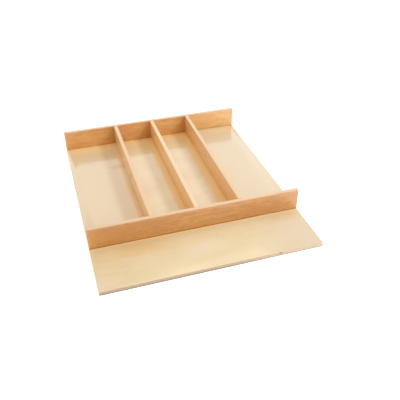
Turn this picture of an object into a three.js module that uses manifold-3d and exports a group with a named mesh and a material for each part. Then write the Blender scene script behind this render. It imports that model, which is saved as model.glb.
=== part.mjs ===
// Drawer organizer insert: a shallow maple tray that drops into a drawer. A plywood base carries a back
// rail, a front rail set back behind an open shelf, and three dividers whose ends are housed in the rails.
// Staples driven up from beneath hold every board to the base.
// Millimetres. +Z is up and +Y points to the back of the drawer. The origin is the middle of the underside.

import * as THREE from 'three';
import { mergeVertices } from 'three/addons/utils/BufferGeometryUtils.js';
import Module from 'manifold-3d';

// Base panel
const baseWidth = 470;
const baseDepth = 559;
const baseThick = 9.5;
const baseChamfer = 0.5;

// Rails and dividers, all ripped from the same stock
const boardThick = 9.5;
const boardHeight = 50.8;
const topRound = 1;
const shelfDepth = 127;
const dividerPitch = 99;

// Housings in the rails that take the divider ends
const housingDepth = 3;
const housingGap = 0.3;

// Staples: crown below, legs up through the base into the board
const crownWidth = 6;
const wireWidth = 1.25;
const wireThick = 1.05;
const stapleLength = 25;
const pointLength = 2;
const crownSink = 0.6;
const slotGap = 0.3;
const railStaples = 6;
const dividerStaples = 4;
const railEndMargin = 30;
const dividerEndMargin = 45;

// Finishes
const faceMaple = { color: 0xecd8b6, roughness: 0.35, metalness: 0 };
const boardMaple = { color: 0xd6a56c, roughness: 0.4, metalness: 0 };
const stapleSteel = { color: 0xb9b5ac, roughness: 0.35, metalness: 1 };

const arcSegments = 4;
const cutOverrun = 1;
const quarterTurn = Math.PI / 2;

const backRailY = baseDepth / 2 - boardThick / 2;
const frontRailY = -baseDepth / 2 + shelfDepth + boardThick / 2;
const dividerSpan = backRailY - frontRailY - boardThick;
const dividerLength = dividerSpan + 2 * housingDepth;
const dividerY = (backRailY + frontRailY) / 2;

const wasm = await Module();
wasm.setup();

function solidOf(geometry) {
  const bare = geometry.clone();
  bare.deleteAttribute('normal');
  bare.deleteAttribute('uv');
  const merged = mergeVertices(bare);
  const vertProperties = new Float32Array(merged.attributes.position.array);
  const triVerts = new Uint32Array(merged.index.array);
  return new wasm.Manifold(new wasm.Mesh({ numProp: 3, vertProperties, triVerts }));
}

function geometryOf(solid) {
  const { numProp, vertProperties, triVerts } = solid.getMesh();
  const geometry = new THREE.BufferGeometry();
  geometry.setAttribute('position', new THREE.BufferAttribute(vertProperties, numProp));
  geometry.setIndex(new THREE.BufferAttribute(triVerts, 1));
  geometry.computeVertexNormals();
  return geometry;
}

function cut(geometry, cutters) {
  const rest = cutters.reduce((solid, cutter) => solid.subtract(solidOf(cutter)), solidOf(geometry));
  return geometryOf(rest);
}

// Evenly spaced stations, centred on zero, from one end margin to the other.
function stations(length, margin, count) {
  const step = (length - 2 * margin) / (count - 1);
  return Array.from({ length: count }, (_, i) => margin - length / 2 + i * step);
}

// A flat outline stood up in the XZ plane and centred on Y.
function standing(outline, thick) {
  const geometry = new THREE.ExtrudeGeometry(outline, { depth: thick, bevelEnabled: false });
  return geometry.rotateX(quarterTurn).translate(0, thick / 2, 0);
}

// Staple with chisel points: the crown's lower face is at z = 0.
function stapleGeometry() {
  const outer = crownWidth / 2;
  const inner = outer - wireWidth;
  const shoulder = stapleLength - pointLength;
  const outline = new THREE.Shape();
  outline.moveTo(-outer, wireWidth / 2);
  outline.lineTo(-inner, 0);
  outline.lineTo(inner, 0);
  outline.lineTo(outer, wireWidth / 2);
  outline.lineTo(outer, shoulder);
  outline.lineTo(inner, stapleLength);
  outline.lineTo(inner, wireWidth);
  outline.lineTo(-inner, wireWidth);
  outline.lineTo(-inner, stapleLength);
  outline.lineTo(-outer, shoulder);
  outline.closePath();
  return standing(outline, wireThick);
}

// Clearance for one staple, open underneath, in the same frame as the staple.
function stapleSlot() {
  const outer = crownWidth / 2 + slotGap;
  const inner = crownWidth / 2 - wireWidth - slotGap;
  const low = -crownSink - cutOverrun;
  const crownTop = wireWidth + slotGap;
  const legTop = stapleLength + slotGap;
  const outline = new THREE.Shape();
  outline.moveTo(-outer, low);
  outline.lineTo(outer, low);
  outline.lineTo(outer, legTop);
  outline.lineTo(inner, legTop);
  outline.lineTo(inner, crownTop);
  outline.lineTo(-inner, crownTop);
  outline.lineTo(-inner, legTop);
  outline.lineTo(-outer, legTop);
  outline.closePath();
  return standing(outline, wireThick + 2 * slotGap);
}

// Plain board lying along X, foot at z = 0: square at the foot, both top arrises rounded.
function boardBlank(length) {
  const half = boardThick / 2;
  const section = new THREE.Shape();
  section.moveTo(-half, 0);
  section.lineTo(half, 0);
  section.absarc(half - topRound, boardHeight - topRound, topRound, 0, quarterTurn);
  section.absarc(topRound - half, boardHeight - topRound, topRound, quarterTurn, 2 * quarterTurn);
  section.closePath();
  const options = { depth: length, bevelEnabled: false, curveSegments: arcSegments };
  const blank = new THREE.ExtrudeGeometry(section, options);
  return blank.rotateX(quarterTurn).rotateZ(quarterTurn).translate(-length / 2, 0, 0);
}

// Housings cut into one face of a rail; side is +1 for the face towards +Y.
function housings(side) {
  const wide = boardThick + 2 * housingGap;
  const deep = housingDepth + housingGap + cutOverrun;
  const high = boardHeight + 2 * cutOverrun;
  const middle = side * (boardThick / 2 + cutOverrun - deep / 2);
  const box = new THREE.BoxGeometry(wide, deep, high).translate(0, middle, boardHeight / 2);
  return [-dividerPitch, 0, dividerPitch].map((x) => box.clone().translate(x, 0, 0));
}

function slotsAlong(places) {
  return places.map((x) => stapleSlot().translate(x, 0, crownSink - baseThick));
}

function baseBlank() {
  const x = baseWidth / 2 - baseChamfer;
  const y = baseDepth / 2 - baseChamfer;
  const outline = new THREE.Shape([
    new THREE.Vector2(-x, -y),
    new THREE.Vector2(x, -y),
    new THREE.Vector2(x, y),
    new THREE.Vector2(-x, y),
  ]);
  const sheet = new THREE.ExtrudeGeometry(outline, {
    depth: baseThick - 2 * baseChamfer,
    bevelThickness: baseChamfer,
    bevelSize: baseChamfer,
    bevelSegments: 1,
  });
  return sheet.translate(0, 0, baseChamfer);
}

// Every board that stands on the base: where its middle is, which way it runs, what is cut in it.
const railPlaces = stations(baseWidth, railEndMargin, railStaples);
const dividerPlaces = stations(dividerLength, dividerEndMargin, dividerStaples);
const boards = [
  { name: 'back_rail', x: 0, y: backRailY, length: baseWidth, places: railPlaces, cuts: housings(-1) },
  { name: 'front_rail', x: 0, y: frontRailY, length: baseWidth, places: railPlaces, cuts: housings(1) },
];
['left', 'center', 'right'].forEach((side, i) => {
  boards.push({
    name: `divider_${side}`,
    x: (i - 1) * dividerPitch,
    y: dividerY,
    length: dividerLength,
    turned: true,
    places: dividerPlaces,
    cuts: [],
  });
});

function addMesh(parent, name, geometry, finish) {
  const mesh = new THREE.Mesh(geometry, new THREE.MeshStandardMaterial(finish));
  mesh.name = name;
  parent.add(mesh);
  return mesh;
}

// A group at the board's middle, on the base, holding the board and the staples driven into it.
function addBoard(parent, board) {
  const place = new THREE.Group();
  place.position.set(board.x, board.y, baseThick);
  place.rotation.z = board.turned ? quarterTurn : 0;
  parent.add(place);
  const geometry = cut(boardBlank(board.length), [...board.cuts, ...slotsAlong(board.places)]);
  addMesh(place, board.name, geometry, boardMaple);
  board.places.forEach((x, i) => {
    const staple = addMesh(place, `${board.name}_staple_${i + 1}`, stapleGeometry(), stapleSteel);
    staple.position.set(x, 0, crownSink - baseThick);
  });
}

// The slots of one board, in the base's frame.
function baseSlots(board) {
  return board.places.map((place) => {
    const slot = stapleSlot().translate(place, 0, crownSink);
    return slot.rotateZ(board.turned ? quarterTurn : 0).translate(board.x, board.y, 0);
  });
}

const insert = new THREE.Group();
addMesh(insert, 'base_panel', cut(baseBlank(), boards.flatMap(baseSlots)), faceMaple);
boards.forEach((board) => addBoard(insert, board));

export default insert;
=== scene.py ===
# Maple drawer insert: ply base, two rails, three dividers and the staples that hold them
import bpy
import math
from mathutils import Matrix, Vector


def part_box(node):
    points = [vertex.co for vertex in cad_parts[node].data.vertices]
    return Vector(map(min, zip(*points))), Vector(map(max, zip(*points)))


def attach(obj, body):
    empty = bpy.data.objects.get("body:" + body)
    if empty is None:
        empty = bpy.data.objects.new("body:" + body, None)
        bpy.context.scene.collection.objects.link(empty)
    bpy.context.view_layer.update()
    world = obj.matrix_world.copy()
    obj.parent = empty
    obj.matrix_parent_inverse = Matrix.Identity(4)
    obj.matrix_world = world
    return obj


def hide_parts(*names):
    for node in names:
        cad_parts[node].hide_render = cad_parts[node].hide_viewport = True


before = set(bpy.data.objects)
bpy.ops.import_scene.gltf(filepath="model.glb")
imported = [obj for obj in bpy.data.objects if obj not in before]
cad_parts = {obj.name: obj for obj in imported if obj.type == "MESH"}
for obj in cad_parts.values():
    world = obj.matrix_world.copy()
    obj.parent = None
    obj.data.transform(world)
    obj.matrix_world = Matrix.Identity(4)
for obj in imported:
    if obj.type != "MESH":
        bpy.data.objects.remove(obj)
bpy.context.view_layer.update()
print("frame loaded,", len(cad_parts), "nodes")

tiny = 1e-5
quarterTurn = math.pi / 2


# shaping in edit mode: faces and edges are chosen in code, then an operator acts on them
def pickUp(piece):
    for other in bpy.context.selected_objects:
        other.select_set(False)
    piece.select_set(True)
    bpy.context.view_layer.objects.active = piece


def addBlock(name, low, high):
    bpy.ops.object.select_all(action="DESELECT")
    low, high = Vector(low), Vector(high)
    bpy.ops.mesh.primitive_cube_add(size=1, location=(low + high) / 2)
    piece = bpy.context.object
    piece.name = name
    piece.data.name = name
    piece.scale = high - low
    bpy.ops.object.transform_apply(location=True, rotation=True, scale=True)
    return piece


def chooseFaces(piece, wanted):
    pickUp(piece)
    bpy.context.tool_settings.mesh_select_mode = (False, False, True)
    for vertex in piece.data.vertices:
        vertex.select = False
    for edge in piece.data.edges:
        edge.select = False
    for face in piece.data.polygons:
        face.select = wanted(face.center, face.normal)


def chooseEdges(piece, wanted):
    pickUp(piece)
    bpy.context.tool_settings.mesh_select_mode = (False, True, False)
    points = [vertex.co for vertex in piece.data.vertices]
    for face in piece.data.polygons:
        face.select = False
    for vertex in piece.data.vertices:
        vertex.select = False
    for edge in piece.data.edges:
        edge.select = wanted(points[edge.vertices[0]], points[edge.vertices[1]])


def edit(operator, **settings):
    bpy.ops.object.mode_set(mode="EDIT")
    operator(**settings)
    bpy.ops.object.mode_set(mode="OBJECT")


def bevelEdges(piece, wanted, width, segments):
    chooseEdges(piece, wanted)
    edit(bpy.ops.mesh.bevel, offset=width, segments=segments, affect="EDGES")


def sliceAt(piece, point, normal):
    chooseFaces(piece, lambda centre, facing: True)
    edit(bpy.ops.mesh.bisect, plane_co=point, plane_no=normal)


def joinAll(pieces):
    pickUp(pieces[0])
    for piece in pieces:
        piece.select_set(True)
    bpy.ops.object.join()
    return pieces[0]


def cutWith(piece, cutter):
    pickUp(piece)
    cut = piece.modifiers.new("cut", "BOOLEAN")
    cut.operation = "DIFFERENCE"
    cut.solver = "EXACT"
    cut.object = cutter
    bpy.ops.object.modifier_apply(modifier=cut.name)
    bpy.data.objects.remove(cutter)


def smoothByAngle(piece, degrees=35):
    pickUp(piece)
    bpy.ops.object.shade_smooth_by_angle(angle=math.radians(degrees))


def copyTo(piece, name, matrix):
    twin = piece.copy()
    twin.data = piece.data.copy()
    twin.data.transform(matrix)
    twin.name = name
    twin.data.name = name
    bpy.context.scene.collection.objects.link(twin)
    return twin


def dress(piece, slot, *nodes):
    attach(piece, "root")
    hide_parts(*nodes)


# one socket: adding, multiplying and so on make the Math nodes
class Sock:
    def __init__(self, sheet, socket):
        self.sheet = sheet
        self.socket = socket

    def also(self, name):
        return Sock(self.sheet, self.socket.node.outputs[name])

    def maths(self, operation, first, second=0.0):
        return self.sheet.node("ShaderNodeMath", {"operation": operation}, {0: first, 1: second})

    def __add__(self, other):
        return self.maths("ADD", self, other)

    def __radd__(self, other):
        return self.maths("ADD", other, self)

    def __sub__(self, other):
        return self.maths("SUBTRACT", self, other)

    def __rsub__(self, other):
        return self.maths("SUBTRACT", other, self)

    def __mul__(self, other):
        return self.maths("MULTIPLY", self, other)

    def __rmul__(self, other):
        return self.maths("MULTIPLY", other, self)

    def __truediv__(self, other):
        return self.maths("DIVIDE", self, other)

    def __pow__(self, other):
        return self.maths("POWER", self, other)

    def __abs__(self):
        return self.maths("ABSOLUTE", self)

    def least(self, other):
        return self.maths("MINIMUM", self, other)

    def most(self, other):
        return self.maths("MAXIMUM", self, other)

    def fraction(self):
        return self.maths("FRACT", self)

    def ease(self, start, end):
        # 0 below start, 1 above end, smooth between; start may be the larger
        settings = {"interpolation_type": "SMOOTHSTEP"}
        return self.sheet.node("ShaderNodeMapRange", settings, {0: self, 1: start, 2: end})


# one material's node sheet
class Sheet:
    def __init__(self, name):
        self.material = bpy.data.materials.new(name)
        self.material.use_nodes = True
        self.tree = self.material.node_tree
        self.tree.nodes.clear()

    def node(self, kind, settings=None, sockets=None, out=0):
        made = self.tree.nodes.new(kind)
        for key, value in (settings or {}).items():
            if key == "stops":
                self.setStops(made.color_ramp, value)
            else:
                setattr(made, key, value)
        for key, value in (sockets or {}).items():
            if isinstance(value, Sock):
                self.tree.links.new(value.socket, made.inputs[key])
            else:
                made.inputs[key].default_value = value
        return Sock(self, made.outputs[out]) if made.outputs else None

    def setStops(self, ramp, stops):
        while len(ramp.elements) < len(stops):
            ramp.elements.new(0.5)
        for element, (place, colour) in zip(ramp.elements, stops):
            element.position = place
            element.color = (*colour, 1)

    def place(self):
        spot = self.node("ShaderNodeTexCoord", out="Object")
        split = self.node("ShaderNodeSeparateXYZ", None, {0: spot})
        return split, split.also("Y"), split.also("Z")

    def noise(self, x, y, z, detail=2.0, rough=0.5, warp=0.0):
        at = self.node("ShaderNodeCombineXYZ", None, {0: x, 1: y, 2: z})
        sockets = {"Vector": at, "Scale": 1.0, "Detail": detail, "Roughness": rough, "Distortion": warp}
        return self.node("ShaderNodeTexNoise", None, sockets)

    def ramp(self, value, stops):
        return self.node("ShaderNodeValToRGB", {"stops": stops}, {0: value})

    def mix(self, share, first, second, blend="MIX"):
        colour = {"data_type": "RGBA", "blend_type": blend}
        return self.node("ShaderNodeMix", colour, {0: share, 6: rgba(first), 7: rgba(second)}, out=2)

    def bump(self, height, distance, strength):
        sockets = {"Height": height, "Distance": distance, "Strength": strength}
        return self.node("ShaderNodeBump", None, sockets)

    def finish(self, **sockets):
        named = {key.replace("_", " "): value for key, value in sockets.items()}
        shader = self.node("ShaderNodeBsdfPrincipled", None, named)
        self.node("ShaderNodeOutputMaterial", None, {"Surface": shader})
        return self.material


def rgba(colour):
    return colour if isinstance(colour, Sock) else (*colour, 1)


# solid maple: tints from pale sapwood to dark pores, then the grain
maple = {
    "pale": (0.821, 0.514, 0.211),
    "middle": (0.757, 0.413, 0.141),
    "deep": (0.649, 0.311, 0.091),
    "washTint": (0.930, 0.625, 0.228),
    "ringTint": (0.583, 0.257, 0.067),
    "fleckTint": (0.46, 0.175, 0.050),
    "poreTint": (0.30, 0.12, 0.04),
    "knotTint": (0.17, 0.060, 0.025),
    # painted shadow of the dividers on the rails' inner faces
    "jointShadowTint": (0.520, 0.240, 0.055),
    # painted shade towards the top of a board
    "topShadeTint": (0.76, 0.74, 0.93),
    "topTint": (0.466, 0.333, 0.197),
    "topGlow": (0.61, 0.47, 0.33),
    "endTint": (0.34, 0.155, 0.060),
    # painted contact shadow at a board's foot
    "footShadowTint": (0.19, 0.060, 0.018),
    # each figure: scale along the board, scale across it, shift, detail
    "figures": {
        "wobble": (5, 14, 0, 3),
        "drift": (4, 30, 0, 4),
        "patch": (38, 160, 5, 2),
        "fibre": (60, 1300, 0, 2),
        "fleck": (110, 520, 7, 1),
        "pores": (85, 950, 3, 1),
        "streak": (6, 170, 9, 2),
    },
    # the noise level where a figure begins, and where it is full
    "fleckRange": (0.64, 0.76),
    "poreRange": (0.66, 0.76),
    "streakRange": (0.60, 0.74),
    "toneRange": (0.28, 0.74),
    # how strongly each shows
    "driftShare": 0.55,
    "patchShare": 0.45,
    "fibreShare": 0.16,
    "ringShare": 0.26,
    "poreShare": 0.30,
    "streakMost": 0.6,
    "fleckMost": 0.8,
    "leastFigure": 0.15,
    "figureLean": 3,
    # the log the board was cut from: year rings and where its heart lay
    "ringWidth": 0.0026,
    "ringSharpness": 3,
    "ringWobble": 0.016,
    "logDepth": 0.045,
    "logAside": 0.016,
    # knots, in radii: where the surround and the core begin and are full, and how dark they are
    "knotSurround": (1.0, 0.7, 0.35),
    "knotCore": (0.85, 0.2, 0.55),
    "knotReach": 4,
    "knotSwing": 0.004,
    # painted divider shadow beside the housings, finish at the ends and on the top, and painted contact
    # shadow at the foot
    "jointShadowReach": 0.036,
    "jointShadowShare": 0.75,
    "jointShadowEdge": -0.001,
    "innerSide": 0.002,
    "endReach": (0.90, 1.0),
    "endDeepShare": 0.45,
    "topBand": 0.0011,
    "topShare": 0.86,
    "topRingShare": 0.2,
    "glowFades": (0.5, 0.95),
    "endBand": (0.0009, 0.0002),
    "endGrainShare": 0.85,
    "footShadowBand": (0.0024, 0.0008),
    "sheen": 0.33,
    "coat": 0.35,
    "coatSheen": 0.22,
    "ior": 1.48,
    "reliefDepth": 0.00010,
    "reliefStrength": 0.6,
}


def mapleMaterial(name, part):
    low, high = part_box(part["node"])
    middle = (low + high) / 2
    sheet = Sheet(name)
    x, y, z = sheet.place()
    lengthwise = high.x - low.x > high.y - low.y
    along, through = (x, y) if lengthwise else (y, x)
    throughMiddle = middle.y if lengthwise else middle.x
    alongMiddle = middle.x if lengthwise else middle.y
    halfLength = max(high.x - low.x, high.y - low.y) / 2
    u = along + part["seed"]
    v = z - low.z
    w = through - throughMiddle
    share = (along - alongMiddle) / halfLength  # -1 at one end, 1 at the other

    def figure(name, **more):
        alongScale, acrossScale, shift, detail = maple["figures"][name]
        return sheet.noise(u * alongScale, v * acrossScale + shift, w * acrossScale, detail, **more)

    def knotPart(far, size, name):
        begins, full, darkness = maple[name]
        return far.ease(size * begins, size * full) * darkness

    # knots: a dark eye in a fainter surround, and the grain swings round it
    eye = None
    swing = None
    for place, up, size, strength, stretch in part["knots"]:
        du = (along - (alongMiddle + halfLength * place)) / stretch
        dv = v - (high.z - low.z) * up
        far = (du * du + dv * dv) ** 0.5
        spot = (knotPart(far, size, "knotSurround") + knotPart(far, size, "knotCore")) * strength
        ripple = far.ease(size * maple["knotReach"], 0.0)
        eye = spot if eye is None else eye.most(spot)
        swing = ripple if swing is None else swing.most(ripple)

    rise = v + maple["logDepth"]
    aside = w + maple["logAside"] * part["leaning"]
    radius = (rise * rise + aside * aside) ** 0.5 + (figure("wobble") - 0.5) * maple["ringWobble"]
    if swing is not None:
        radius = radius + swing * maple["knotSwing"]
    ring = (radius / maple["ringWidth"]).fraction() ** maple["ringSharpness"]
    drift = figure("drift", rough=0.55)
    patch = figure("patch", warp=0.4)
    fibre = figure("fibre")
    fleck = figure("fleck").ease(*maple["fleckRange"])
    pores = figure("pores").ease(*maple["poreRange"])
    streak = figure("streak").ease(*maple["streakRange"])

    lean = share * part["palerEnd"] + part["palerAll"]
    tone = drift * maple["driftShare"] + patch * maple["patchShare"]
    tone = tone + (fibre - 0.5) * maple["fibreShare"] + lean
    colour = sheet.ramp(
        tone.ease(*maple["toneRange"]),
        [(0.0, maple["deep"]), (0.5, maple["middle"]), (1.0, maple["pale"])],
    )
    colour = sheet.mix(part["wash"], colour, maple["washTint"])
    colour = sheet.mix(ring * maple["ringShare"], colour, maple["ringTint"])
    # a darker end is more figured
    lively = part["figure"] - share * part["palerEnd"] * maple["figureLean"]
    lively = lively.most(maple["leastFigure"])
    colour = sheet.mix((streak * lively).least(maple["streakMost"]), colour, maple["ringTint"])
    colour = sheet.mix((fleck * lively).least(maple["fleckMost"]), colour, maple["fleckTint"])
    colour = sheet.mix(pores * maple["poreShare"], colour, maple["poreTint"])
    if eye is not None:
        colour = sheet.mix(eye, colour, maple["knotTint"])

    # on a rail, painted shadow of each divider darkens the inner face to the left of its housing, and the
    # ends are a shade deeper
    if lengthwise:
        inner = (w * part["facing"]).ease(0.0, maple["innerSide"])
        for divider in dividers:
            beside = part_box(divider["node"])[0].x - x
            jointShadow = beside.ease(maple["jointShadowReach"], 0.0) * beside.ease(maple["jointShadowEdge"], 0.0) * inner
            colour = sheet.mix(jointShadow * maple["jointShadowShare"], colour, maple["jointShadowTint"])
        ends = abs(share).ease(*maple["endReach"])
        colour = sheet.mix(ends * maple["endDeepShare"], colour, maple["deep"])
    # painted shade, darker towards the top, evening out the stronger light on the upper part of a board
    topShade = sheet.ramp(v / (high.z - low.z), [(0.0, (1.0, 1.0, 1.0)), (1.0, maple["topShadeTint"])])
    colour = sheet.mix(part["topShade"], colour, topShade, blend="MULTIPLY")
    # planed top edge is paler, end grain drinks more finish
    topFace = z.ease(high.z - maple["topBand"], high.z - maple["topBand"] * 0.3)
    topShare = maple["topShare"] - ring * maple["topRingShare"]
    colour = sheet.mix(topFace * topShare, colour, maple["topTint"])
    glow = (1 - share.ease(*maple["glowFades"])) * part["topGlow"]
    colour = sheet.mix(topFace * glow, colour, maple["topGlow"])
    endStart, endFull = maple["endBand"]
    endGrain = abs(along - alongMiddle).ease(halfLength - endStart, halfLength - endFull)
    colour = sheet.mix(endGrain * maple["endGrainShare"], colour, maple["endTint"])
    # painted contact shadow in the corner at the foot
    foot = v.ease(*maple["footShadowBand"])
    colour = sheet.mix(foot * part["footShadow"], colour, maple["footShadowTint"])

    relief = fibre * 0.5 - pores * 0.8 - ring * 0.35
    rough = maple["sheen"] + (fibre - 0.5) * 0.12 + pores * 0.12 + endGrain * 0.15
    return sheet.finish(
        Base_Color=colour,
        Roughness=rough,
        Normal=sheet.bump(relief, maple["reliefDepth"], maple["reliefStrength"]),
        Coat_Weight=maple["coat"] - endGrain * 0.2,
        Coat_Roughness=maple["coatSheen"],
        IOR=maple["ior"],
    )


# rails and dividers: one board section, eased edges, dividers let into the rails
boardShape = {
    "topArris": 0.0011,
    "topSteps": 4,
    "railFoot": 0.0004,
    "dividerFoot": 0.0001,
    "footSteps": 2,
    "housingGap": 0.0001,
    "housingDepth": 0.003,
    "cutterPast": 0.01,
}


def makeRail(name, node, facing):
    # facing is 1 where the housings open towards the back, -1 where they open towards the front
    low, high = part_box(node)
    rail = addBlock(name, low, high)
    shape = boardShape
    bevelEdges(rail, lambda a, b: max(a.z, b.z) > high.z - tiny, shape["topArris"], shape["topSteps"])
    bevelEdges(rail, lambda a, b: max(a.z, b.z) < low.z + tiny, shape["railFoot"], shape["footSteps"])
    gap = shape["housingGap"]
    past = shape["cutterPast"]
    cutters = []
    for divider in dividers:
        left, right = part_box(divider["node"])
        inner = high.y if facing > 0 else low.y
        bed = inner - facing * (shape["housingDepth"] + gap)
        mouth = inner + facing * past
        corner = (left.x - gap, min(bed, mouth), low.z - past)
        opposite = (right.x + gap, max(bed, mouth), high.z + past)
        cutters.append(addBlock("housing", corner, opposite))
    cutWith(rail, joinAll(cutters))
    return rail


def makeDivider(name, node):
    low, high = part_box(node)
    divider = addBlock(name, low, high)
    halfLength = (high.y - low.y) / 2

    def longEdge(level):
        def atLevel(a, b):
            return abs(a.y - b.y) > halfLength and max(abs(a.z - level), abs(b.z - level)) < tiny
        return atLevel

    shape = boardShape
    bevelEdges(divider, longEdge(high.z), shape["topArris"], shape["topSteps"])
    bevelEdges(divider, longEdge(low.z), shape["dividerFoot"], shape["footSteps"])
    return divider


# palerEnd and palerAll shift a board's tone, figure and wash set how lively and how pale it is,
# the top share is painted shade that darkens it towards the top, the foot line is painted contact shadow
# on the board, and the divider share is painted warm bounce light and shade on the base beside it
# knots: how far along (-1 to 1), how far up (0 to 1), radius, strength, stretch along the grain
rails = [
    {
        "name": "frontRail",
        "node": "front_rail",
        "facing": 1,
        "seed": 3.1,
        "leaning": -1,
        "palerEnd": 0.05,
        "palerAll": -0.11,
        "figure": 1.25,
        "wash": 0.0,
        "topShade": 1.0,
        "topGlow": 0.20,
        "footShadow": 1.0,
        "knots": [],
    },
    {
        "name": "backRail",
        "node": "back_rail",
        "facing": -1,
        "seed": 8.4,
        "leaning": 1,
        "palerEnd": 0.13,
        "palerAll": 0.01,
        "figure": 0.5,
        "wash": 0.0,
        "topShade": 0.65,
        "topGlow": 0.10,
        "footShadow": 0.3,
        "knots": [],
    },
]
dividers = [
    {
        "name": "leftDivider",
        "node": "divider_left",
        "seed": 14.2,
        "leaning": 1,
        "palerEnd": -0.10,
        "palerAll": 0.17,
        "figure": 0.5,
        "wash": 0.0,
        "topShade": 0.65,
        "topGlow": 0.05,
        "bounceShade": 0.40,
        "footShadow": 0.0,
        "knots": [(-0.04, 0.53, 0.0058, 1.1, 2.5)],
    },
    {
        "name": "centreDivider",
        "node": "divider_center",
        "seed": 21.7,
        "leaning": -1,
        "palerEnd": -0.08,
        "palerAll": 0.48,
        "figure": 0.25,
        "wash": 0.75,
        "topShade": 0.65,
        "topGlow": 0.40,
        "bounceShade": 0.70,
        "footShadow": 0.0,
        # on this divider, a small dark spot at the front end near the top, drawn as a knot
        "knots": [(-0.90, 0.90, 0.0020, 1.0, 1.7)],
    },
    {
        "name": "rightDivider",
        "node": "divider_right",
        "seed": 27.3,
        "leaning": 1,
        "palerEnd": -0.09,
        "palerAll": 0.20,
        "figure": 0.5,
        "wash": 0.0,
        "topShade": 0.65,
        "topGlow": 0.0,
        "bounceShade": 0.80,
        "footShadow": 0.0,
        "knots": [(0.10, 0.57, 0.0044, 0.85, 1.7)],
    },
]


# staples: modelled once, then set into their slots
stapleWire = {
    "thick": 0.00125,
    "legLength": 0.025,
    "pointLength": 0.002,
    "cornerRound": 0.0011,
    "cornerSteps": 5,
    "wireRound": 0.00018,
    "wireSteps": 2,
    "slotGap": 0.00008,
    "slotSink": 0.002,
    "smoothUnder": 40,
}


def makeStaple(name, width, depth, gap=0.0, sink=0.0):
    # crown bar on the XY plane, legs drawn up from its ends
    thick = stapleWire["thick"]
    outer = width / 2 + gap
    inner = width / 2 - thick - gap
    half = depth / 2 + gap
    bar = addBlock(name, (-outer, -half, -sink), (outer, half, thick + gap))
    for side in (-inner, inner):
        sliceAt(bar, (side, 0, 0), (1, 0, 0))
    chooseFaces(bar, lambda centre, facing: facing.z > 0.5 and abs(centre.x) > inner)
    rise = stapleWire["legLength"] - thick
    move = {"value": (0, 0, rise)}
    edit(bpy.ops.mesh.extrude_region_move, TRANSFORM_OT_translate=move)
    return bar


def finishStaple(staple):
    wire = stapleWire
    top = wire["legLength"]
    outer = max(vertex.co.x for vertex in staple.data.vertices)
    chooseEdges(staple, lambda a, b: min(a.z, b.z) > top - tiny and min(abs(a.x), abs(b.x)) > outer - tiny)
    edit(bpy.ops.transform.translate, value=(0, 0, -wire["pointLength"]))
    bevelEdges(
        staple,
        lambda a, b: max(a.z, b.z) < tiny and min(abs(a.x), abs(b.x)) > outer - tiny,
        wire["cornerRound"],
        wire["cornerSteps"],
    )
    pickUp(staple)
    soften = staple.modifiers.new("soften", "BEVEL")
    soften.width = wire["wireRound"]
    soften.segments = wire["wireSteps"]
    soften.limit_method = "ANGLE"
    bpy.ops.object.modifier_apply(modifier=soften.name)
    smoothByAngle(staple, wire["smoothUnder"])


def stapleSeat(node):
    # where a staple stands, and the turn that brings its crown along the board
    low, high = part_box(node)
    turned = high.y - low.y > high.x - low.x
    middle = (low + high) / 2
    seat = Matrix.Translation((middle.x, middle.y, low.z))
    return seat @ Matrix.Rotation(quarterTurn if turned else 0, 4, "Z")


stapleNodes = sorted(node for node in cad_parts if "_staple_" in node)
firstLow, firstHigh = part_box("back_rail_staple_1")
crownWidth = firstHigh.x - firstLow.x
wireDepth = firstHigh.y - firstLow.y
stapleMaster = makeStaple("stapleMaster", crownWidth, wireDepth)
finishStaple(stapleMaster)
slotGap, slotSink = stapleWire["slotGap"], stapleWire["slotSink"]
slotMaster = makeStaple("slotMaster", crownWidth, wireDepth, slotGap, slotSink)


def slotsFor(nodes):
    return joinAll([copyTo(slotMaster, "slot", stapleSeat(node)) for node in nodes])


def staplesOf(board):
    return [node for node in stapleNodes if node.startswith(board + "_staple_")]


# ply base: a plain sheet whose cross plies sit a hair back at the edges
basePly = {
    "plies": 7,
    "faceShare": 0.07,
    "cornerRound": 0.0016,
    "cornerSteps": 4,
    "arris": 0.0006,
    "arrisSteps": 2,
    "crossSink": 0.00015,
}


def plyLevels(low, high):
    # thin face veneers outside, even core plies between them
    thick = high.z - low.z
    face = thick * basePly["faceShare"]
    core = (thick - 2 * face) / (basePly["plies"] - 2)
    inner = [low.z + face + core * i for i in range(basePly["plies"] - 1)]
    return [low.z, *inner, high.z]


def makeBase():
    low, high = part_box("base_panel")
    base = addBlock("basePanel", low, high)
    halfThick = (high.z - low.z) / 2
    bevelEdges(
        base,
        lambda a, b: abs(a.z - b.z) > halfThick,
        basePly["cornerRound"],
        basePly["cornerSteps"],
    )
    bevelEdges(
        base,
        lambda a, b: max(a.z, b.z) < low.z + tiny or min(a.z, b.z) > high.z - tiny,
        basePly["arris"],
        basePly["arrisSteps"],
    )
    levels = plyLevels(low, high)
    for level in levels[1:-1]:
        sliceAt(base, (0, 0, level), (0, 0, 1))
    for under, over in list(zip(levels, levels[1:]))[1:-1:2]:
        chooseFaces(base, lambda centre, facing: under < centre.z < over and abs(facing.z) < 0.3)
        sink = basePly["crossSink"]
        edit(bpy.ops.mesh.inset, thickness=sink, depth=-sink, use_boundary=True)
    cutWith(base, slotsFor(stapleNodes))
    return base


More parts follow.
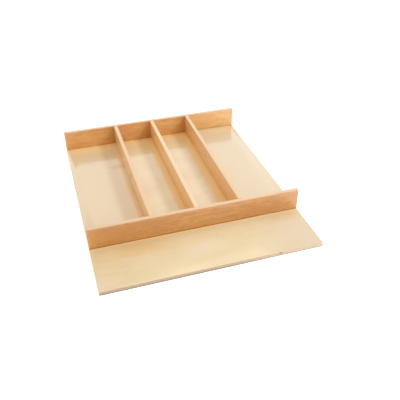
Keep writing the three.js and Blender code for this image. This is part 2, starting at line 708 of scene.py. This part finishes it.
plyLook = {
    "pale": (0.546, 0.451, 0.285),
    "middle": (0.519, 0.421, 0.254),
    "deep": (0.492, 0.385, 0.214),
    "curlTint": (0.469, 0.334, 0.161),
    "heartTint": (0.516, 0.340, 0.144),
    # painted warm bounce light and shade where the base meets the boards
    "bounceShadeTint": (0.735, 0.478, 0.192),
    "greyTint": (0.480, 0.400, 0.287),
    "duskTint": (0.466, 0.370, 0.236),
    "smudgeTint": (0.450, 0.290, 0.120),
    "paleTint": (0.560, 0.470, 0.345),
    "poreTint": (0.40, 0.22, 0.08),
    "longPly": (0.480, 0.385, 0.265),
    "crossPly": (0.400, 0.310, 0.200),
    # darker lowest plies on the edge
    "lowPliesTint": (0.190, 0.140, 0.096),
    "glueTint": (0.20, 0.11, 0.05),
    "underTint": (0.60, 0.42, 0.24),
    "gapTint": (0.055, 0.020, 0.006),
    "paleEdge": (0.66, 0.53, 0.38),
    # each figure of the veneer: scale across, scale along, sway, layer, detail
    "veneer": {
        "cloud": (5, 9, 0, 4.2, 3),
        "curl": (34, 60, 5, 7.9, 3),
        "grain": (16, 260, 22, 3.4, 3),
        "pores": (120, 900, 0, 2.3, 1),
    },
    "bendScale": (3, 5),
    "bendLayer": 1.7,
    "fibreScale": (70, 1150, 900),
    "poreRange": (0.68, 0.78),
    "grainRange": (0.55, 0.75),
    "toneRange": (0.30, 0.70),
    "cloudShare": 0.64,
    "curlShare": 0.20,
    "grainShare": 0.16,
    "fibreShare": 0.10,
    "grainTintShare": 0.12,
    "poreShare": 0.25,
    # painted warm bounce light and shade against the boards: how far it runs out, and how strong it is
    "dividerBounceReach": 0.026,
    "railBounceReach": 0.050,
    "railBounceShare": 0.60,
    "shelfBounceReach": 0.012,
    "shelfBounceShare": 0.75,
    "openBay": (0.09, 0.14),  # in the right bay it is weaker: from x, to x
    "openBayLess": 0.30,
    # small changes in the veneer: x, y, reach, strength, tint
    "patchFlatten": 2.2,
    "patchWander": 0.05,
    "patches": [
        (-0.130, -0.170, 0.100, 0.45, "heartTint"),
        (-0.020, -0.150, 0.060, 0.40, "heartTint"),
        (0.200, -0.165, 0.080, 0.35, "heartTint"),
        (-0.118, 0.148, 0.034, 0.80, "smudgeTint"),
        (-0.008, -0.222, 0.070, 0.50, "paleTint"),
        (0.030, -0.272, 0.110, 0.65, "duskTint"),
        (-0.225, -0.262, 0.070, 0.45, "paleTint"),
    ],
    # the right-hand leaf is a little greyer, and the outer bays a little duller: from x, to x, share
    "greyLeaf": (0.06, 0.20),
    "greyWander": 0.1,
    "greyShare": 0.8,
    "outerBays": (0.09, 0.13),
    "outerFront": (-0.150, -0.145),
    "outerShare": 0.7,
    # edges: pith in the plies, glue lines between them
    "pithScale": (240, 240, 700),
    "pithFrom": 0.35,
    "pithShare": 0.5,
    "glueRange": (0.46, 0.49),
    "glueShare": 0.45,
    # the front edge pales to the right: from x, to x, and a gap in its core: x, z, half sizes
    "paleEdgeFrom": (0.02, 0.18),
    "paleEdgeShare": 0.5,
    "coreGap": (0.138, 0.0070, 0.0036, 0.0013),
    # how far below the top, and above the underside, the face veneers begin and are full
    "faceBand": (0.0008, 0.0006),
    "underBand": (0.0003, 0.0001),
    "underShare": 0.5,
    "sheen": 0.16,
    "coat": 0.5,
    "coatSheen": 0.08,
    "ior": 1.5,
    "reliefDepth": 0.00005,
    "reliefStrength": 0.5,
}


def plyMaterial():
    look = plyLook
    low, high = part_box("base_panel")
    sheet = Sheet("mapleFacedPly")
    x, y, z = sheet.place()

    # rotary-cut face: close, quiet figure with soft curl across the grain
    bendX, bendY = look["bendScale"]
    bend = sheet.noise(x * bendX, y * bendY, look["bendLayer"], detail=2) - 0.5

    def veneer(name, **more):
        scaleX, scaleY, sway, layer, detail = look["veneer"][name]
        return sheet.noise(x * scaleX, y * scaleY + bend * sway, layer, detail, **more)

    cloud = veneer("cloud")
    curl = veneer("curl", rough=0.6)
    grain = veneer("grain")
    pores = veneer("pores").ease(*look["poreRange"])
    fibreX, fibreY, fibreZ = look["fibreScale"]
    fibre = sheet.noise(x * fibreX, y * fibreY, z * fibreZ, detail=2)
    tone = cloud * look["cloudShare"] + curl * look["curlShare"] + grain * look["grainShare"]
    tone = tone + (fibre - 0.5) * look["fibreShare"]
    face = sheet.ramp(
        tone.ease(*look["toneRange"]),
        [(0.0, look["deep"]), (0.45, look["middle"]), (1.0, look["pale"])],
    )
    face = sheet.mix(grain.ease(*look["grainRange"]) * look["grainTintShare"], face, look["curlTint"])
    plain = face
    greyer = (x + bend * look["greyWander"]).ease(*look["greyLeaf"])
    face = sheet.mix(greyer * look["greyShare"], face, look["greyTint"])
    outer = abs(x).ease(*look["outerBays"]) * y.ease(*look["outerFront"])
    face = sheet.mix(outer * look["outerShare"], face, look["duskTint"])
    for patchX, patchY, reach, strength, tint in look["patches"]:
        dx = x - patchX
        dy = (y - patchY) * look["patchFlatten"]
        far = (dx * dx + dy * dy) ** 0.5 + bend * look["patchWander"]
        face = sheet.mix(far.ease(reach, reach * 0.1) * strength, face, look[tint])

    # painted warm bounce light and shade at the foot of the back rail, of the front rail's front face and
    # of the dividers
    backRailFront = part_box("back_rail")[0].y
    frontLow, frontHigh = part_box("front_rail")
    openBay = x.ease(*look["openBay"])
    bounceShade = y.ease(backRailFront - look["railBounceReach"], backRailFront)
    bounceShade = bounceShade * (look["railBounceShare"] - openBay * look["openBayLess"])
    bounceShade = bounceShade.most(abs(y - frontLow.y).ease(look["shelfBounceReach"], 0.0) * look["shelfBounceShare"])
    behind = y.ease(frontHigh.y - 0.002, frontHigh.y)
    for part in dividers:
        leftSide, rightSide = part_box(part["node"])
        beside = abs(x - (leftSide.x + rightSide.x) / 2) - (rightSide.x - leftSide.x) / 2
        bounceShade = bounceShade.most(beside.ease(look["dividerBounceReach"], 0.0) * behind * part["bounceShade"])
    face = sheet.mix(bounceShade, face, look["bounceShadeTint"])
    face = sheet.mix(pores * look["poreShare"], face, look["poreTint"])

    # edges: plies laid crosswise in turn, with a dark glue line between them
    levels = plyLevels(low, high)
    core = levels[2] - levels[1]
    step = (z - levels[1]) / core
    cross = (step / 2).fraction()
    cross = cross.ease(0.49, 0.51) * cross.ease(1.0, 0.99)
    glue = abs(step.fraction() - 0.5).ease(*look["glueRange"])
    pithX, pithY, pithZ = look["pithScale"]
    pith = sheet.noise(x * pithX, y * pithY, z * pithZ, detail=2)
    edge = sheet.mix(cross, look["longPly"], look["crossPly"])
    # the lowest plies are darker
    lowPlies = z.ease(levels[2] + 0.0001, levels[2] - 0.0001)
    edge = sheet.mix(lowPlies, edge, look["lowPliesTint"])
    edge = sheet.mix((pith - look["pithFrom"]).most(0.0) * look["pithShare"], edge, look["glueTint"])
    edge = sheet.mix(glue * look["glueShare"], edge, look["glueTint"])
    edge = sheet.mix(x.ease(*look["paleEdgeFrom"]) * look["paleEdgeShare"], edge, look["paleEdge"])
    gapX, gapZ, gapLong, gapHigh = look["coreGap"]
    dx = (x - gapX) / gapLong
    dz = (z - gapZ) / gapHigh
    gap = (dx * dx + dz * dz).ease(1.2, 0.5) * y.ease(0.0, -0.1)
    edge = sheet.mix(gap, edge, look["gapTint"])

    # the face veneer shows above, a duller one below, and the edge between them
    faceStart, faceFull = look["faceBand"]
    inFace = z.ease(high.z - faceStart, high.z - faceFull)
    colour = sheet.mix(inFace, edge, face)
    underStart, underFull = look["underBand"]
    under = z.ease(low.z + underStart, low.z + underFull)
    colour = sheet.mix(under, colour, sheet.mix(look["underShare"], plain, look["underTint"]))
    onEdge = 1 - inFace.most(under)
    relief = fibre * 0.5 - pores * 0.6 + onEdge * pith * 2
    return sheet.finish(
        Base_Color=colour,
        Roughness=look["sheen"] + (fibre - 0.5) * 0.06 + onEdge * 0.3,
        Normal=sheet.bump(relief, look["reliefDepth"], look["reliefStrength"]),
        Coat_Weight=look["coat"] - onEdge * 0.45,
        Coat_Roughness=look["coatSheen"],
        IOR=look["ior"],
    )


stapleLook = {
    "zinc": (0.62, 0.61, 0.58),
    "dull": (0.42, 0.41, 0.39),
    "bloomScale": 900,
    "drawnScale": (2600, 2600, 300),
    "bloomRange": (0.35, 0.65),
    "sheen": 0.34,
    "relief": 0.00003,
}


def stapleMaterial():
    look = stapleLook
    sheet = Sheet("galvanisedWire")
    x, y, z = sheet.place()
    scale = look["bloomScale"]
    bloom = sheet.noise(x * scale, y * scale, z * scale, detail=3)
    scaleX, scaleY, scaleZ = look["drawnScale"]
    drawn = sheet.noise(x * scaleX, y * scaleY, z * scaleZ, detail=1)
    return sheet.finish(
        Base_Color=sheet.mix(bloom.ease(*look["bloomRange"]), look["zinc"], look["dull"]),
        Metallic=1.0,
        Roughness=look["sheen"] + (bloom - 0.5) * 0.25,
        Normal=sheet.bump(drawn, look["relief"], 0.5),
    )


# put together
basePanel = makeBase()
basePanel.data.materials.append(plyMaterial())
smoothByAngle(basePanel)
dress(basePanel, "panel_ply", "base_panel")
print("ply base made,", len(basePanel.data.polygons), "faces")

for part in rails:
    rail = makeRail(part["name"], part["node"], part["facing"])
    cutWith(rail, slotsFor(staplesOf(part["node"])))
    wood = mapleMaterial(part["name"] + "Maple", part)
    rail.data.materials.append(wood)
    smoothByAngle(rail)
    dress(rail, "board_maple", part["node"])
print("rails made")

for part in dividers:
    divider = makeDivider(part["name"], part["node"])
    cutWith(divider, slotsFor(staplesOf(part["node"])))
    wood = mapleMaterial(part["name"] + "Maple", part)
    divider.data.materials.append(wood)
    smoothByAngle(divider)
    dress(divider, "board_maple", part["node"])
print("dividers made")

wire = stapleMaterial()
stapleMaster.data.materials.append(wire)
for node in stapleNodes:
    staple = copyTo(stapleMaster, node.replace("_", "-"), stapleSeat(node))
    dress(staple, "staple_steel", node)
bpy.data.objects.remove(stapleMaster)
bpy.data.objects.remove(slotMaster)
print("staples set,", len(stapleNodes))


# floor, light and camera
studio = {
    "floorSize": 14.0,
    "floorDrop": 0.0002,
    "floorTone": (0.90, 0.90, 0.90),
    "floorRoughness": 0.9,
    "floorGlow": 0.28,
    "skyStrength": 0.75,
    "skyTint": (1.0, 0.93, 0.88),
    "boxes": {
        "backSoftbox": {
            "at": (0.65, 1.85, 1.00),
            "size": (3.2, 1.2),
            "watts": 12.5,
            "tint": (0.82, 0.89, 1.0),
        },
        "topSoftbox": {
            "at": (-0.2, 0.0, 2.20),
            "size": (2.2, 2.2),
            "watts": 29.5,
            "tint": (1.0, 0.85, 0.64),
        },
        "keySoftbox": {
            "at": (1.2, -0.5, 1.50),
            "size": (0.35, 0.35),
            "watts": 22.5,
            "tint": (0.70, 0.82, 1.0),
        },
        "leftSoftbox": {
            "at": (-1.8, -0.3, 0.70),
            "size": (1.6, 1.2),
            "watts": 6.5,
            "tint": (0.97, 0.98, 1.0),
        },
        "rightSoftbox": {
            "at": (1.8, -0.2, 0.80),
            "size": (1.6, 1.2),
            "watts": 5.0,
            "tint": (1.0, 1.0, 1.0),
        },
        "frontSoftbox": {
            "at": (0.7, -1.9, 0.65),
            "size": (1.8, 1.0),
            "watts": 3.0,
            "tint": (1.0, 0.96, 0.92),
        },
    },
}


def floorMaterial():
    sheet = Sheet("paleFloor")
    return sheet.finish(
        Base_Color=(*studio["floorTone"], 1),
        Roughness=studio["floorRoughness"],
        Emission_Color=(1, 1, 1, 1),
        Emission_Strength=studio["floorGlow"],
    )


bpy.ops.object.select_all(action="DESELECT")
bpy.ops.mesh.primitive_plane_add(size=studio["floorSize"], location=(0, 0, -studio["floorDrop"]))
floor = bpy.context.object
floor.name = "floor"
floor.data.materials.append(floorMaterial())

sky = bpy.data.worlds.new("studioSky")
sky.use_nodes = True
skyLight = sky.node_tree.nodes["Background"].inputs
skyLight["Strength"].default_value = studio["skyStrength"]
skyLight["Color"].default_value = (*studio["skyTint"], 1)
bpy.context.scene.world = sky
bpy.context.scene.view_settings.view_transform = "Standard"


def addSoftbox(name, box):
    light = bpy.data.lights.new(name, "AREA")
    light.shape = "RECTANGLE"
    light.size, light.size_y = box["size"]
    light.energy = box["watts"]
    light.color = box["tint"]
    lamp = bpy.data.objects.new(name, light)
    lamp.location = box["at"]
    lamp.rotation_euler = (-Vector(box["at"])).to_track_quat("-Z", "Y").to_euler()
    bpy.context.scene.collection.objects.link(lamp)


for name, box in studio["boxes"].items():
    addSoftbox(name, box)

view = {
    "at": (-0.2655, -1.0137, 0.7360),
    "turn": 0.30408,
    "tilt": 0.62615,
    "roll": -0.0045,
    "lens": 47.98,
    "sensor": 36.0,
}
lens = bpy.data.cameras.new("camera")
lens.lens = view["lens"]
lens.sensor_width = view["sensor"]
camera = bpy.data.objects.new("camera", lens)
camera.location = view["at"]
aim = Matrix.Rotation(-view["turn"], 3, "Z") @ Matrix.Rotation(quarterTurn - view["tilt"], 3, "X")
camera.rotation_euler = (aim @ Matrix.Rotation(view["roll"], 3, "Z")).to_euler()
bpy.context.scene.collection.objects.link(camera)
bpy.context.scene.camera = camera
print("floor, lights and camera set")
